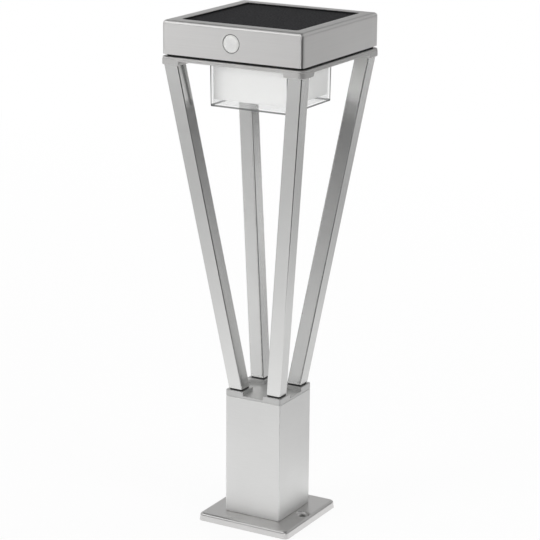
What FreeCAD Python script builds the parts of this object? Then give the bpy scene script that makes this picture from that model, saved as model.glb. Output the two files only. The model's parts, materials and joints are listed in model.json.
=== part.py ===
import FreeCAD, Part
import math
import os

# A solar ground light: base plate, post, four leaning legs and a square head with a solar panel.
# Millimetres. The origin is under the middle of the base plate, +Z up, and the sensor looks along -Y.

# Base plate, pressed from sheet
plate_width = 101.0
plate_draft = 0.7
plate_height = 7.5
plate_corner = 5.0
plate_edge = 2.6
plate_sheet = 1.5
ground_hole_radius = 3.0
dimple_floor_radius = 3.8
dimple_radius = 8.0
dimple_depth = 2.8

# Post tube and the fine bevel that shows as a line at its ends
post_width = 61.2
post_wall = 1.5
post_corner = 1.5
post_length = 120.5
end_bevel = 0.6

# Insert in the foot of the post
insert_height = 22.0
insert_floor = 8.0
insert_wall = 3.0
insert_screw_offset = 19.0
insert_screw_length = 7.0

# Tie rod that clamps plate, post and cap
rod_radius = 2.5
rod_boss_radius = 7.0
rod_boss_length = 16.0
rod_grip = 13.0
rod_tail = 0.4
washer_radius = 5.5
washer_thickness = 1.0
nut_across_flats = 8.0
nut_height = 4.0

# Post cap with a pad for each leg
cap_rim = 2.7
cap_skirt_depth = 12.0
cap_skirt_wall = 2.5
pad_width = 19.3
pad_height = 3.8
cap_edge = 0.6

# Legs, square tubes that lean outwards along the diagonals
leg_width = 15.0
leg_wall = 1.2
leg_corner = 1.4
leg_rise = 322.6
foot_gap = 1.5
foot_collar_inset = 0.5
plug_length = 20.0
plug_screw_grip = 10.0

# Crown and floor plate under the head
crown_overhang = 1.6
crown_corner = 7.0
crown_thickness = 1.7
crown_edge = 0.6
block_width = 21.0
block_height = 4.0
block_corner = 0.8
floor_thickness = 1.8
floor_inset = 0.4
floor_edge = 0.8

# Head cover, its window, and the seal in the gap under its edge
shadow_gap = 2.2
head_seal_inset = 0.7
head_seal_wall = 1.5
head_seal_corner = 11.0
head_width = 149.2
head_height = 31.7
head_corner = 3.6
head_edge = 3.5
head_sheet = 1.2
window_border = 12.9
window_corner = 3.0
stud_radius = 2.6
stud_wall_gap = 1.2
screw_block_gap = 5.4

# Tray, the black housing inside the cover
tray_flange_inset = 4.1
tray_corner = 6.0
tray_floor = 2.0
tray_wall = 2.0
tray_ledge = 8.5
tray_ledge_thickness = 2.0
rim_wall = 1.6
hook_length = 14.0
hook_reach = 1.4
hook_thickness = 1.5

# Solar panel stack under the window
gasket_thickness = 0.5
gasket_lip_wall = 0.7
gasket_lip_sink = 0.4
panel_overlap = 3.8
glass_thickness = 2.0
cell_thickness = 0.4
cell_margin = 5.0
cell_gap = 1.0
cell_columns = 2
cell_rows = 6
panel_board_thickness = 1.6

# Motion sensor in the front face
sensor_hole_radius = 8.9
sensor_holder_wall = 1.6
sensor_lens_radius = 8.45
sensor_lens_bulge = 3.0
sensor_lens_edge = 0.4
sensor_lens_lip = 0.75
sensor_lens_wall = 1.0
sensor_lens_seat = 2.0
sensor_flange_reach = 1.1
sensor_flange_thickness = 1.8
sensor_depth = 12.6
sensor_board_width = 18.0
sensor_can_radius = 4.1
sensor_can_height = 4.2
sensor_can_rim = 0.5

# Lens box, seal and diffuser; the inset is from the side of the head
lens_inset = 32.1
lens_draft = 0.6
lens_drop = 46.0
lens_wall = 2.0
lens_floor = 2.4
lens_corner = 1.6
lens_edge = 0.8
lens_lip = 3.0
lens_flange_thickness = 2.0
seal_thickness = 1.0
diffuser_gap = 0.5
diffuser_wall = 1.2
diffuser_lift = 4.2
diffuser_flange_thickness = 1.0

# Light source
led_board_thickness = 1.6
led_pitch = 15.0
led_per_side = 4
led_length = 3.5
led_width = 2.8
led_height = 0.8

# Control board on two bosses at the right of the tray
board_width = 17.0
board_length = 88.0
board_thickness = 1.6
board_boss_radius = 3.0
board_boss_height = 3.0
board_screw_inset = 5.0
plug_block_length = 6.0
plug_block_width = 4.5
plug_block_height = 4.5
plug_pitch = 13.5
chip_width = 7.0
chip_length = 6.0
chip_height = 1.6
coil_radius = 3.0
coil_height = 3.2
capacitor_radius = 3.0
capacitor_height = 6.5

# Battery in its holder at the back of the tray
battery_radius = 7.1
battery_length = 48.0
battery_nub_radius = 2.6
battery_nub_height = 1.4
holder_wall = 1.2
holder_floor = 1.5
holder_end = 2.5
holder_height = 11.2
contact_thickness = 0.6
contact_width = 10.0
contact_height = 11.5

# Push button under the head, with its switch above
button_radius = 4.0
button_reach = 2.2
button_travel = 1.5
button_flange_radius = 5.6
button_flange_thickness = 1.0
button_edge = 1.0
switch_width = 16.0
switch_height = 9.0

# Leads between the boards
lead_radius = 0.9
lead_bend = 4.0

# Fasteners
screw_radius = 2.0
screw_head_radius = 3.8
screw_head_height = 2.2
screw_slot_width = 0.9
small_screw_radius = 1.5
small_screw_head_radius = 2.6
small_screw_head_height = 1.6
small_screw_length = 5.0

# Clearances
slip = 0.2
thread_gap = 0.1
hole_gap = 0.3
running_gap = 0.4
margin = 5.0

# Levels and places worked out from the values above
plate_top_width = plate_width - 2 * plate_draft
ground_hole_x = (post_width + plate_top_width) / 4
sheet_under = plate_height - plate_sheet
post_inner = post_width - 2 * post_wall
post_top = plate_height + post_length
channel_level = post_top + cap_rim
pad_top = channel_level + pad_height
pad_centre = (post_width - pad_width) / 2
leg_foot = pad_top + foot_gap
leg_top = leg_foot + leg_rise
crown_width = head_width + 2 * crown_overhang
leg_top_centre = (crown_width - block_width) / 2
leg_inner = leg_width - 2 * leg_wall
crown_under = leg_top + block_height
crown_top = crown_under + crown_thickness
floor_top = crown_top + floor_thickness
head_under = floor_top + shadow_gap
head_top = head_under + head_height
sheet_top = head_top - head_sheet
head_inner = head_width - 2 * head_sheet
tray_width = head_width - 2 * tray_flange_inset
tray_inner = tray_width - 2 * tray_wall
tray_level = floor_top + tray_floor
stud_x = crown_width / 2 - block_width - screw_head_radius - screw_block_gap
stud_y = head_inner / 2 - stud_radius - stud_wall_gap
glass_top = sheet_top - gasket_thickness
cell_top = glass_top - glass_thickness
panel_board_top = cell_top - cell_thickness
panel_under = panel_board_top - panel_board_thickness
window_width = head_width - 2 * window_border
panel_width = window_width + 2 * panel_overlap
sensor_level = head_under + head_height / 2
sensor_front = -head_width / 2 + sensor_lens_edge
sensor_rim_radius = sensor_lens_radius - sensor_lens_lip
lens_width = head_width - 2 * lens_inset
lens_flange_under = floor_top + seal_thickness
lens_flange_top = lens_flange_under + lens_flange_thickness
lens_bottom = crown_under - lens_drop
lens_flange_width = lens_width + 2 * lens_lip
lens_opening = lens_width + 4 * hole_gap
led_board_under = lens_flange_top + diffuser_flange_thickness
led_board_top = led_board_under + led_board_thickness
rim_inner = lens_flange_width + 2 * hole_gap
rim_outer = rim_inner + 2 * rim_wall
bay_centre = (rim_outer + tray_inner) / 4
board_under = tray_level + board_boss_height
board_top = board_under + board_thickness
plug_block_top = board_top + plug_block_height
corners = ((-1, -1), (1, -1), (-1, 1), (1, 1))


def at(x, y, z):
    return FreeCAD.Vector(x, y, z)


def rounded_outline(width, depth, radius):
    x = width / 2
    y = depth / 2
    r = radius
    k = r * (1 - math.sqrt(0.5))
    points = [at(-x + r, -y, 0), at(x - r, -y, 0), at(x, -y + r, 0), at(x, y - r, 0),
              at(x - r, y, 0), at(-x + r, y, 0), at(-x, y - r, 0), at(-x, -y + r, 0)]
    middles = [at(x - k, -y + k, 0), at(x - k, y - k, 0), at(-x + k, y - k, 0), at(-x + k, -y + k, 0)]
    edges = []
    for i in range(4):
        start, end = points[2 * i], points[2 * i + 1]
        after = points[(2 * i + 2) % 8]
        edges.append(Part.makeLine(start, end))
        edges.append(Part.Arc(end, middles[i], after).toShape())
    return Part.Wire(edges)


def slab(width, depth, low, high, radius=0.0, centre=(0.0, 0.0)):
    if radius > 0:
        solid = Part.Face(rounded_outline(width, depth, radius)).extrude(at(0, 0, high - low))
        solid.translate(at(centre[0], centre[1], low))
        return solid
    corner = at(centre[0] - width / 2, centre[1] - depth / 2, low)
    return Part.makeBox(width, depth, high - low, corner)


def square_slab(width, low, high, radius=0.0):
    return slab(width, width, low, high, radius)


def drafted_slab(low_width, high_width, low, high, radius):
    wires = []
    for width, level in ((low_width, low), (high_width, high)):
        wire = rounded_outline(width, width, radius)
        wire.translate(at(0, 0, level))
        wires.append(wire)
    return Part.makeLoft(wires, True, True)


def rod(radius, low, high, x=0.0, y=0.0):
    return Part.makeCylinder(radius, high - low, at(x, y, low))


def front_rod(radius, front, back, x, z):
    return Part.makeCylinder(radius, back - front, at(x, front, z), at(0, 1, 0))


def level_edges(shape, level, reach):
    picked = []
    for edge in shape.Edges:
        box = edge.BoundBox
        far = max(-box.XMin, box.XMax, -box.YMin, box.YMax)
        if abs(box.ZMin - level) < 1e-4 and abs(box.ZMax - level) < 1e-4 and far > reach:
            picked.append(edge)
    return picked


def upright_screw(radius, length, head_radius, head_height):
    # A pan head below z = 0 with a cross recess, and a shank that points up from it.
    head_round = 0.45 * head_height
    slot_depth = 0.55 * head_height
    slot_length = 1.2 * head_radius
    tip_bevel = 0.3 * radius
    head = rod(head_radius, -head_height, 0)
    head = head.makeFillet(head_round, level_edges(head, -head_height, 0))
    for width, depth in ((slot_length, screw_slot_width), (screw_slot_width, slot_length)):
        head = head.cut(slab(width, depth, -head_height, -head_height + slot_depth))
    shank = rod(radius, 0, length)
    shank = shank.makeChamfer(tip_bevel, level_edges(shank, length, 0))
    return head.fuse(shank).removeSplitter()


def countersunk_screw(radius, length, head_radius, head_height):
    # The flat of the head is at z = 0 and the shank points down.
    slot_depth = 0.5 * head_height
    slot_length = 1.2 * head_radius
    head = Part.makeCone(radius, head_radius, head_height, at(0, 0, -head_height))
    for width, depth in ((slot_length, screw_slot_width), (screw_slot_width, slot_length)):
        head = head.cut(slab(width, depth, -slot_depth, 0))
    shank = rod(radius, -length, -head_height)
    return head.fuse(shank).removeSplitter()


def placed(shape, x, y, z):
    copy = shape.copy()
    copy.translate(at(x, y, z))
    return copy


def leg_place(level, side_x, side_y):
    share = (level - leg_foot) / leg_rise
    offset = pad_centre + share * (leg_top_centre - pad_centre)
    return at(side_x * offset, side_y * offset, level)


def leaning_bar(width, corner, low, high, side_x, side_y):
    # A straight square bar on a leg's axis, cut off level at both ends.
    start = leg_place(low - width, side_x, side_y)
    end = leg_place(high + width, side_x, side_y)
    along = (end - start).normalize()
    outward = at(side_x, side_y, 0)
    outward = (outward - along * outward.dot(along)).normalize()
    across = along.cross(outward)
    turn = FreeCAD.Rotation(outward - across, outward + across, along, "ZXY")
    face = Part.Face(rounded_outline(width, width, corner))
    face.Placement = FreeCAD.Placement(start, turn)
    bar = face.extrude(end - start)
    reach = 2 * (abs(end.x) + width)
    return bar.common(slab(reach, reach, low, high))


def dimple_profile(top, radius, floor_radius, depth):
    # Half section of a pressed dimple: a flat floor and two equal tangent arcs up to the sheet.
    run = radius - floor_radius
    bend = (run * run + depth * depth) / (4 * depth)
    half = math.atan2(depth, run)
    low = top - depth
    middle = at(floor_radius + run / 2, 0, top - depth / 2)
    first = at(floor_radius + bend * math.sin(half), 0, low + bend * (1 - math.cos(half)))
    second = at(radius - bend * math.sin(half), 0, top - bend * (1 - math.cos(half)))
    floor_end = at(floor_radius, 0, low)
    rim = at(radius, 0, top)
    edges = [Part.makeLine(at(0, 0, low), floor_end), Part.Arc(floor_end, first, middle).toShape(),
             Part.Arc(middle, second, rim).toShape(), Part.makeLine(rim, at(radius, 0, top + margin)),
             Part.makeLine(at(radius, 0, top + margin), at(0, 0, top + margin)),
             Part.makeLine(at(0, 0, top + margin), at(0, 0, low))]
    return Part.Face(Part.Wire(edges))


def make_base_plate():
    outer = drafted_slab(plate_width, plate_top_width, 0, plate_height, plate_corner)
    outer = outer.makeFillet(plate_edge, level_edges(outer, plate_height, 0))
    inner_corner = max(plate_corner - plate_sheet, plate_sheet / 2)
    inner = drafted_slab(plate_width - 2 * plate_sheet, plate_top_width - 2 * plate_sheet,
                         0, sheet_under, inner_corner)
    inner = inner.makeFillet(plate_edge - plate_sheet, level_edges(inner, sheet_under, 0))
    plate = outer.cut(inner)
    turn_axis = at(0, 0, 1)
    press = dimple_profile(plate_height, dimple_radius, dimple_floor_radius, dimple_depth)
    press = press.revolve(at(0, 0, 0), turn_axis, 360)
    shell_radius = dimple_radius + plate_sheet / 2
    shell_floor = dimple_floor_radius + plate_sheet / 2
    shell = dimple_profile(sheet_under, shell_radius, shell_floor, dimple_depth)
    shell = shell.revolve(at(0, 0, 0), turn_axis, 360)
    shell = shell.common(square_slab(4 * shell_radius, 0, plate_height - plate_sheet / 2))
    for side in (-1, 1):
        x = side * ground_hole_x
        plate = plate.fuse(placed(shell, x, 0, 0))
        plate = plate.cut(placed(press, x, 0, 0))
        plate = plate.cut(rod(ground_hole_radius, -margin, plate_height, x, 0))
    plate = plate.cut(rod(rod_radius + hole_gap, 0, plate_height))
    for sx, sy in corners:
        x = sx * insert_screw_offset
        y = sy * insert_screw_offset
        plate = plate.cut(rod(screw_radius + hole_gap, 0, plate_height, x, y))
    return plate


def make_post_tube():
    tube = square_slab(post_width, plate_height, post_top, post_corner)
    for level in (plate_height, post_top):
        tube = tube.makeChamfer(end_bevel, level_edges(tube, level, 0))
    bore = square_slab(post_inner, plate_height, post_top, post_corner / 2)
    return tube.cut(bore)


def make_post_foot_insert():
    width = post_inner - 2 * slip
    block = square_slab(width, plate_height, plate_height + insert_height, post_corner / 2)
    hollow = square_slab(width - 2 * insert_wall, plate_height + insert_floor,
                         plate_height + insert_height, post_corner / 2)
    block = block.cut(hollow)
    block = block.cut(rod(rod_radius + hole_gap, plate_height, plate_height + insert_floor))
    for sx, sy in corners:
        x = sx * insert_screw_offset
        y = sy * insert_screw_offset
        block = block.cut(rod(screw_radius + thread_gap, plate_height, plate_height + insert_floor, x, y))
    return block


def make_insert_screws():
    length = plate_sheet + insert_screw_length
    screw = upright_screw(screw_radius, length, screw_head_radius, screw_head_height)
    places = [(sx * insert_screw_offset, sy * insert_screw_offset) for sx, sy in corners]
    return Part.makeCompound([placed(screw, x, y, sheet_under) for x, y in places])


def make_tie_rod():
    bottom = sheet_under - washer_thickness - nut_height - rod_tail
    bar = rod(rod_radius, bottom, post_top - rod_boss_length + rod_grip)
    return bar.makeChamfer(rod_tail, level_edges(bar, bottom, 0))


def make_tie_rod_washer():
    low = sheet_under - washer_thickness
    return rod(washer_radius, low, sheet_under).cut(rod(rod_radius + hole_gap, low, sheet_under))


def make_tie_rod_nut():
    top = sheet_under - washer_thickness
    corner_radius = nut_across_flats / math.sqrt(3)
    points = [at(corner_radius * math.cos(i * math.pi / 3), corner_radius * math.sin(i * math.pi / 3), 0)
              for i in range(7)]
    nut = Part.Face(Part.makePolygon(points)).extrude(at(0, 0, nut_height))
    nut.translate(at(0, 0, top - nut_height))
    return nut.cut(rod(rod_radius + thread_gap, top - nut_height, top))


def make_post_cap():
    cap = square_slab(post_width, post_top, channel_level, post_corner)
    cap = cap.makeChamfer(end_bevel, level_edges(cap, post_top, 0))
    cap = cap.makeFillet(cap_edge, level_edges(cap, channel_level, 0))
    for sx, sy in corners:
        pad = square_slab(post_width, post_top + end_bevel, pad_top, post_corner)
        corner = (sx * pad_centre, sy * pad_centre)
        pad = pad.common(slab(pad_width, pad_width, post_top, pad_top, 0, corner))
        pad = pad.makeFillet(cap_edge, level_edges(pad, pad_top, 0))
        cap = cap.fuse(pad)
    skirt_width = post_inner - 2 * slip
    low = post_top - cap_skirt_depth
    skirt = square_slab(skirt_width, low, post_top, post_corner / 2)
    skirt = skirt.cut(square_slab(skirt_width - 2 * cap_skirt_wall, low, post_top, post_corner / 2))
    boss_low = post_top - rod_boss_length
    cap = cap.fuse([skirt, rod(rod_boss_radius, boss_low, post_top)])
    cap = cap.cut(rod(rod_radius + thread_gap, boss_low, boss_low + rod_grip + thread_gap))
    for sx, sy in corners:
        place = leg_place(pad_top, sx, sy)
        cap = cap.cut(rod(screw_radius + hole_gap, post_top, pad_top + margin, place.x, place.y))
    return cap.removeSplitter()


def make_leg(side_x, side_y):
    tube = leaning_bar(leg_width, leg_corner, leg_foot, leg_top, side_x, side_y)
    bore_corner = max(leg_corner - leg_wall, leg_wall / 4)
    bore = leaning_bar(leg_inner, bore_corner, leg_foot - margin, leg_top + margin, side_x, side_y)
    return tube.cut(bore)


def make_foot_plug(side_x, side_y):
    collar_width = leg_width - 2 * foot_collar_inset
    core_width = leg_inner - 2 * slip
    collar = leaning_bar(collar_width, leg_corner, pad_top, leg_foot, side_x, side_y)
    core = leaning_bar(core_width, leg_wall / 4, leg_foot, leg_foot + plug_length, side_x, side_y)
    place = leg_place(pad_top, side_x, side_y)
    bore = rod(screw_radius + thread_gap, pad_top, leg_foot + plug_screw_grip, place.x, place.y)
    return collar.fuse(core).cut(bore)


def make_foot_screws():
    length = leg_foot + plug_screw_grip - post_top - thread_gap
    screw = upright_screw(screw_radius, length, screw_head_radius, screw_head_height)
    places = [leg_place(pad_top, sx, sy) for sx, sy in corners]
    return Part.makeCompound([placed(screw, p.x, p.y, post_top) for p in places])


def make_top_plug(side_x, side_y):
    core_width = leg_inner - 2 * slip
    core = leaning_bar(core_width, leg_wall / 4, leg_top - plug_length, leg_top, side_x, side_y)
    bore = rod(screw_radius + thread_gap, leg_top - plug_screw_grip, leg_top,
               side_x * leg_top_centre, side_y * leg_top_centre)
    return core.cut(bore)


def make_top_screws():
    length = crown_top - leg_top + plug_screw_grip - thread_gap
    screw = countersunk_screw(screw_radius, length, screw_head_radius, screw_head_height)
    return Part.makeCompound([placed(screw, sx * leg_top_centre, sy * leg_top_centre, crown_top - thread_gap)
                              for sx, sy in corners])


def cover_screw_places():
    return [(sx * stud_x, sy * stud_y) for sx, sy in corners]


def cut_head_openings(shape, low, high):
    # Holes that run through crown and floor plate alike, the screw holes countersunk from below.
    shape = shape.cut(square_slab(lens_opening, low, high, lens_corner))
    shape = shape.cut(rod(button_radius + running_gap, low, high, -bay_centre, 0))
    for x, y in cover_screw_places():
        shape = shape.cut(rod(screw_radius + hole_gap, low, high, x, y))
        sink = Part.makeCone(screw_head_radius + hole_gap, screw_radius + hole_gap, screw_head_height,
                             at(x, y, crown_under))
        shape = shape.cut(sink)
    return shape


def make_leg_crown():
    plate = square_slab(crown_width, crown_under, crown_top, crown_corner)
    plate = plate.makeFillet(crown_edge, level_edges(plate, crown_top, 0))
    for sx, sy in corners:
        whole = square_slab(crown_width, leg_top, crown_under, crown_corner)
        corner = (sx * leg_top_centre, sy * leg_top_centre)
        block = whole.common(slab(block_width, block_width, leg_top, crown_under, block_corner, corner))
        block = block.makeFillet(crown_edge, level_edges(block, leg_top, 0))
        plate = plate.fuse(block)
    plate = cut_head_openings(plate, crown_under, crown_top)
    for sx, sy in corners:
        x = sx * leg_top_centre
        y = sy * leg_top_centre
        plate = plate.cut(rod(screw_radius + hole_gap, leg_top, crown_top, x, y))
        sink = Part.makeCone(screw_radius + hole_gap, screw_head_radius + hole_gap, screw_head_height,
                             at(x, y, crown_top - screw_head_height))
        plate = plate.cut(sink)
    return plate.removeSplitter()


def make_head_floor():
    width = crown_width - 2 * floor_inset
    plate = square_slab(width, crown_top, floor_top, crown_corner - floor_inset)
    plate = plate.makeFillet(floor_edge, level_edges(plate, floor_top, 0))
    return cut_head_openings(plate, crown_top, floor_top)


def make_cover_screws():
    low = crown_under + thread_gap
    length = tray_level - low + tray_floor + plug_screw_grip
    screw = countersunk_screw(screw_radius, length, screw_head_radius, screw_head_height)
    screw.rotate(at(0, 0, 0), at(1, 0, 0), 180)
    return Part.makeCompound([placed(screw, x, y, low) for x, y in cover_screw_places()])


def make_head_seal():
    # A square ring under the cover's edge, with wide corners that leave the gap open.
    outer = head_width - 2 * head_seal_inset
    ring = square_slab(outer, floor_top, head_under, head_seal_corner)
    inner_corner = head_seal_corner - head_seal_wall
    return ring.cut(square_slab(outer - 2 * head_seal_wall, floor_top, head_under, inner_corner))


def make_head_cover():
    shell = square_slab(head_width, head_under, head_top, head_corner)
    shell = shell.makeFillet(head_edge, level_edges(shell, head_top, 0))
    hollow = square_slab(head_inner, head_under, sheet_top, head_corner - head_sheet)
    hollow = hollow.makeFillet(head_edge - head_sheet, level_edges(hollow, sheet_top, 0))
    cover = shell.cut(hollow)
    cover = cover.cut(square_slab(window_width, sheet_top, head_top, window_corner))
    for x, y in cover_screw_places():
        cover = cover.fuse(rod(stud_radius, tray_level, sheet_top, x, y))
        bore_top = tray_level + tray_floor + plug_screw_grip + thread_gap
        cover = cover.cut(rod(screw_radius + thread_gap, tray_level, bore_top, x, y))
    sensor_hole = front_rod(sensor_hole_radius, -head_width / 2, -head_inner / 2, 0, sensor_level)
    return cover.cut(sensor_hole)


def make_head_tray():
    tray = square_slab(tray_width, floor_top, panel_under, tray_corner)
    inner_corner = tray_corner - tray_wall
    tray = tray.cut(square_slab(tray_inner, tray_level, panel_under - tray_ledge_thickness, inner_corner))
    ledge_inner = tray_inner - 2 * tray_ledge
    tray = tray.cut(square_slab(ledge_inner, tray_level, panel_under, inner_corner))
    notch_radius = stud_radius + hole_gap
    for x, y in cover_screw_places():
        column = rod(notch_radius + tray_wall, tray_level, panel_under, x, y)
        tray = tray.fuse(column.common(square_slab(tray_width, tray_level, panel_under, tray_corner)))
        tray = tray.cut(rod(notch_radius, tray_level, panel_under, x, y))
        out = 1 if y > 0 else -1
        slot = slab(2 * notch_radius, head_width, tray_level, panel_under, 0, (x, y + out * head_width / 2))
        tray = tray.cut(slot)
        tray = tray.cut(rod(screw_radius + hole_gap, floor_top, tray_level, x, y))
    hook_low = led_board_top + thread_gap
    rim = square_slab(rim_outer, floor_top, hook_low, lens_corner)
    tray = tray.fuse(rim)
    for turn in range(4):
        hook_width = rim_wall + hole_gap + hook_reach
        hook_middle = rim_outer / 2 - hook_width / 2
        hook = slab(hook_width, hook_length, hook_low, hook_low + hook_thickness, 0, (hook_middle, 0))
        hook.rotate(at(0, 0, 0), at(0, 0, 1), 90 * turn)
        tray = tray.fuse(hook)
    tray = tray.cut(square_slab(rim_inner, floor_top, hook_low, lens_corner))
    for y in (-board_length / 2 + board_screw_inset, board_length / 2 - board_screw_inset):
        tray = tray.fuse(rod(board_boss_radius, tray_level, board_under, bay_centre, y))
        low = board_top - small_screw_length
        tray = tray.cut(rod(small_screw_radius + thread_gap, low, board_under, bay_centre, y))
    tray = tray.cut(rod(button_radius + running_gap, floor_top, tray_level, -bay_centre, 0))
    tray = tray.cut(front_rod(sensor_hole_radius, -tray_width / 2, -tray_inner / 2, 0, sensor_level))
    clear = sensor_hole_radius + sensor_flange_reach
    clear_depth = tray_ledge + tray_wall
    room = slab(2 * clear, clear_depth, panel_under - tray_ledge_thickness, panel_under, 0,
                (0, -tray_inner / 2 + clear_depth / 2))
    return tray.cut(room).removeSplitter()


def make_panel_gasket():
    lip_outer = window_width - 2 * thread_gap
    lip_inner = lip_outer - 2 * gasket_lip_wall
    lip = square_slab(lip_outer, glass_top, head_top - gasket_lip_sink, window_corner)
    flange = square_slab(panel_width, glass_top, sheet_top, window_corner)
    hole = square_slab(lip_inner, glass_top, head_top, window_corner - gasket_lip_wall)
    return flange.fuse(lip).cut(hole).removeSplitter()


def make_solar_glass():
    return square_slab(panel_width, cell_top, glass_top, window_corner)


def make_solar_cells():
    field = panel_width - 2 * cell_margin
    length = (field - (cell_columns - 1) * cell_gap) / cell_columns
    depth = (field - (cell_rows - 1) * cell_gap) / cell_rows
    cells = []
    for column in range(cell_columns):
        for row in range(cell_rows):
            x = -field / 2 + length / 2 + column * (length + cell_gap)
            y = -field / 2 + depth / 2 + row * (depth + cell_gap)
            cells.append(slab(length, depth, panel_board_top, cell_top, 0, (x, y)))
    return Part.makeCompound(cells)


def make_panel_board():
    return square_slab(panel_width, panel_under, panel_board_top, window_corner)


def make_sensor_lens():
    # A shallow dome over the holder's front, on a short rim that stands in its mouth.
    face = -head_width / 2
    seat_back = sensor_front + sensor_lens_seat
    sphere_radius = (sensor_lens_radius ** 2 + sensor_lens_bulge ** 2) / (2 * sensor_lens_bulge)
    centre = at(0, face - sensor_lens_bulge + sphere_radius, sensor_level)
    room = front_rod(sensor_lens_radius, face - sensor_lens_bulge, face, 0, sensor_level)
    dome = Part.makeSphere(sphere_radius, centre).common(room)
    edge = front_rod(sensor_lens_radius, face, sensor_front, 0, sensor_level)
    rim = front_rod(sensor_rim_radius, sensor_front, seat_back, 0, sensor_level)
    lens = dome.fuse([edge, rim])
    core_radius = sensor_rim_radius - sensor_lens_wall
    core = Part.makeSphere(sphere_radius - sensor_lens_wall, centre)
    core = core.common(front_rod(core_radius, face - sensor_lens_bulge, face, 0, sensor_level))
    lens = lens.cut(core)
    return lens.cut(front_rod(core_radius, face, seat_back, 0, sensor_level)).removeSplitter()


def make_sensor_holder():
    back = -head_width / 2 + sensor_depth
    radius = sensor_hole_radius - hole_gap
    body = front_rod(radius, sensor_front, back, 0, sensor_level)
    flange_front = -tray_inner / 2 + slip
    flange = front_rod(radius + sensor_flange_reach, flange_front, flange_front + sensor_flange_thickness,
                       0, sensor_level)
    body = body.fuse(flange)
    bore = front_rod(radius - sensor_holder_wall, sensor_front, back, 0, sensor_level)
    seat_back = sensor_front + sensor_lens_seat
    mouth = front_rod(sensor_rim_radius + thread_gap, sensor_front, seat_back, 0, sensor_level)
    return body.cut(bore).cut(mouth)


def make_sensor_board():
    front = -head_width / 2 + sensor_depth
    corner = at(-sensor_board_width / 2, front, sensor_level - sensor_board_width / 2)
    return Part.makeBox(sensor_board_width, board_thickness, sensor_board_width, corner)


def make_sensor_can():
    back = -head_width / 2 + sensor_depth
    can = front_rod(sensor_can_radius, back - sensor_can_height, back, 0, sensor_level)
    base = front_rod(sensor_can_radius + sensor_can_rim, back - sensor_can_rim, back, 0, sensor_level)
    return can.fuse(base).removeSplitter()


def lens_width_at(level):
    share = (lens_flange_under - level) / (lens_flange_under - lens_bottom)
    return lens_width - 2 * lens_draft * share


def make_lens_box():
    bottom_width = lens_width_at(lens_bottom)
    box = drafted_slab(bottom_width, lens_width, lens_bottom, lens_flange_under, lens_corner)
    box = box.makeFillet(lens_edge, level_edges(box, lens_bottom, 0))
    box = box.fuse(square_slab(lens_flange_width, lens_flange_under, lens_flange_top, lens_corner))
    inside_low = lens_bottom + lens_floor
    inside_corner = lens_corner / 2
    low_width = lens_width_at(inside_low) - 2 * lens_wall
    high_width = lens_width_at(lens_flange_top) - 2 * lens_wall
    inside = drafted_slab(low_width, high_width, inside_low, lens_flange_top, inside_corner)
    return box.cut(inside)


def make_inner_diffuser():
    low = lens_bottom + lens_floor + diffuser_lift
    inset = 2 * lens_wall + 2 * diffuser_gap
    low_width = lens_width_at(low) - inset
    high_width = lens_width_at(lens_flange_top) - inset
    box = drafted_slab(low_width, high_width, low, lens_flange_top, lens_corner / 2)
    box = box.makeFillet(lens_edge, level_edges(box, low, 0))
    flange = square_slab(lens_flange_width - 2 * hole_gap, lens_flange_top, led_board_under, lens_corner)
    box = box.fuse(flange)
    hollow_low = low + diffuser_wall
    hollow = drafted_slab(low_width - 2 * diffuser_wall, high_width - 2 * diffuser_wall,
                          hollow_low, led_board_under, lens_corner / 4)
    return box.cut(hollow)


def make_lens_seal():
    ring = square_slab(lens_flange_width, floor_top, lens_flange_under, lens_corner)
    return ring.cut(square_slab(lens_opening, floor_top, lens_flange_under, lens_corner))


def make_led_board():
    return square_slab(lens_flange_width - 2 * hole_gap, led_board_under, led_board_top, lens_corner)


def make_led_chips():
    chips = []
    for column in range(led_per_side):
        for row in range(led_per_side):
            x = (column - (led_per_side - 1) / 2) * led_pitch
            y = (row - (led_per_side - 1) / 2) * led_pitch
            low = led_board_under - led_height
            chips.append(slab(led_length, led_width, low, led_board_under, 0, (x, y)))
    return Part.makeCompound(chips)


def make_control_board():
    board = slab(board_width, board_length, board_under, board_top, 0, (bay_centre, 0))
    for y in (-board_length / 2 + board_screw_inset, board_length / 2 - board_screw_inset):
        board = board.cut(rod(small_screw_radius + thread_gap, board_under, board_top, bay_centre, y))
    return board


def make_board_screws():
    screw = upright_screw(small_screw_radius, small_screw_length,
                          small_screw_head_radius, small_screw_head_height)
    screw.rotate(at(0, 0, 0), at(1, 0, 0), 180)
    places = (-board_length / 2 + board_screw_inset, board_length / 2 - board_screw_inset)
    return Part.makeCompound([placed(screw, bay_centre, y, board_top) for y in places])


# Where each lead meets the control board, counted in pitches along it
plug_places = {"sensor": -2 * plug_pitch, "led": -plug_pitch, "switch": 0, "solar": plug_pitch,
               "battery": 2 * plug_pitch}


def make_lead_connectors():
    blocks = []
    for y in plug_places.values():
        centre = (bay_centre, y)
        blocks.append(slab(plug_block_length, plug_block_width, board_top, plug_block_top, 0, centre))
    return Part.makeCompound(blocks)


def make_board_components():
    # The parts stand between the connectors.
    chip = slab(chip_width, chip_length, board_top, board_top + chip_height, 0, (bay_centre, plug_pitch / 2))
    coil = rod(coil_radius, board_top, board_top + coil_height, bay_centre, -1.5 * plug_pitch)
    capacitor = rod(capacitor_radius, board_top, board_top + capacitor_height, bay_centre, 1.5 * plug_pitch)
    return Part.makeCompound([chip, coil, capacitor])


# Battery axis and holder box, at the back of the tray
battery_level = tray_level + holder_floor + battery_radius + thread_gap
holder_width = 2 * (battery_radius + holder_wall + slip)
holder_inside = battery_length + battery_nub_height + 2 * contact_thickness + 2 * slip
holder_length = holder_inside + 2 * holder_end


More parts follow.
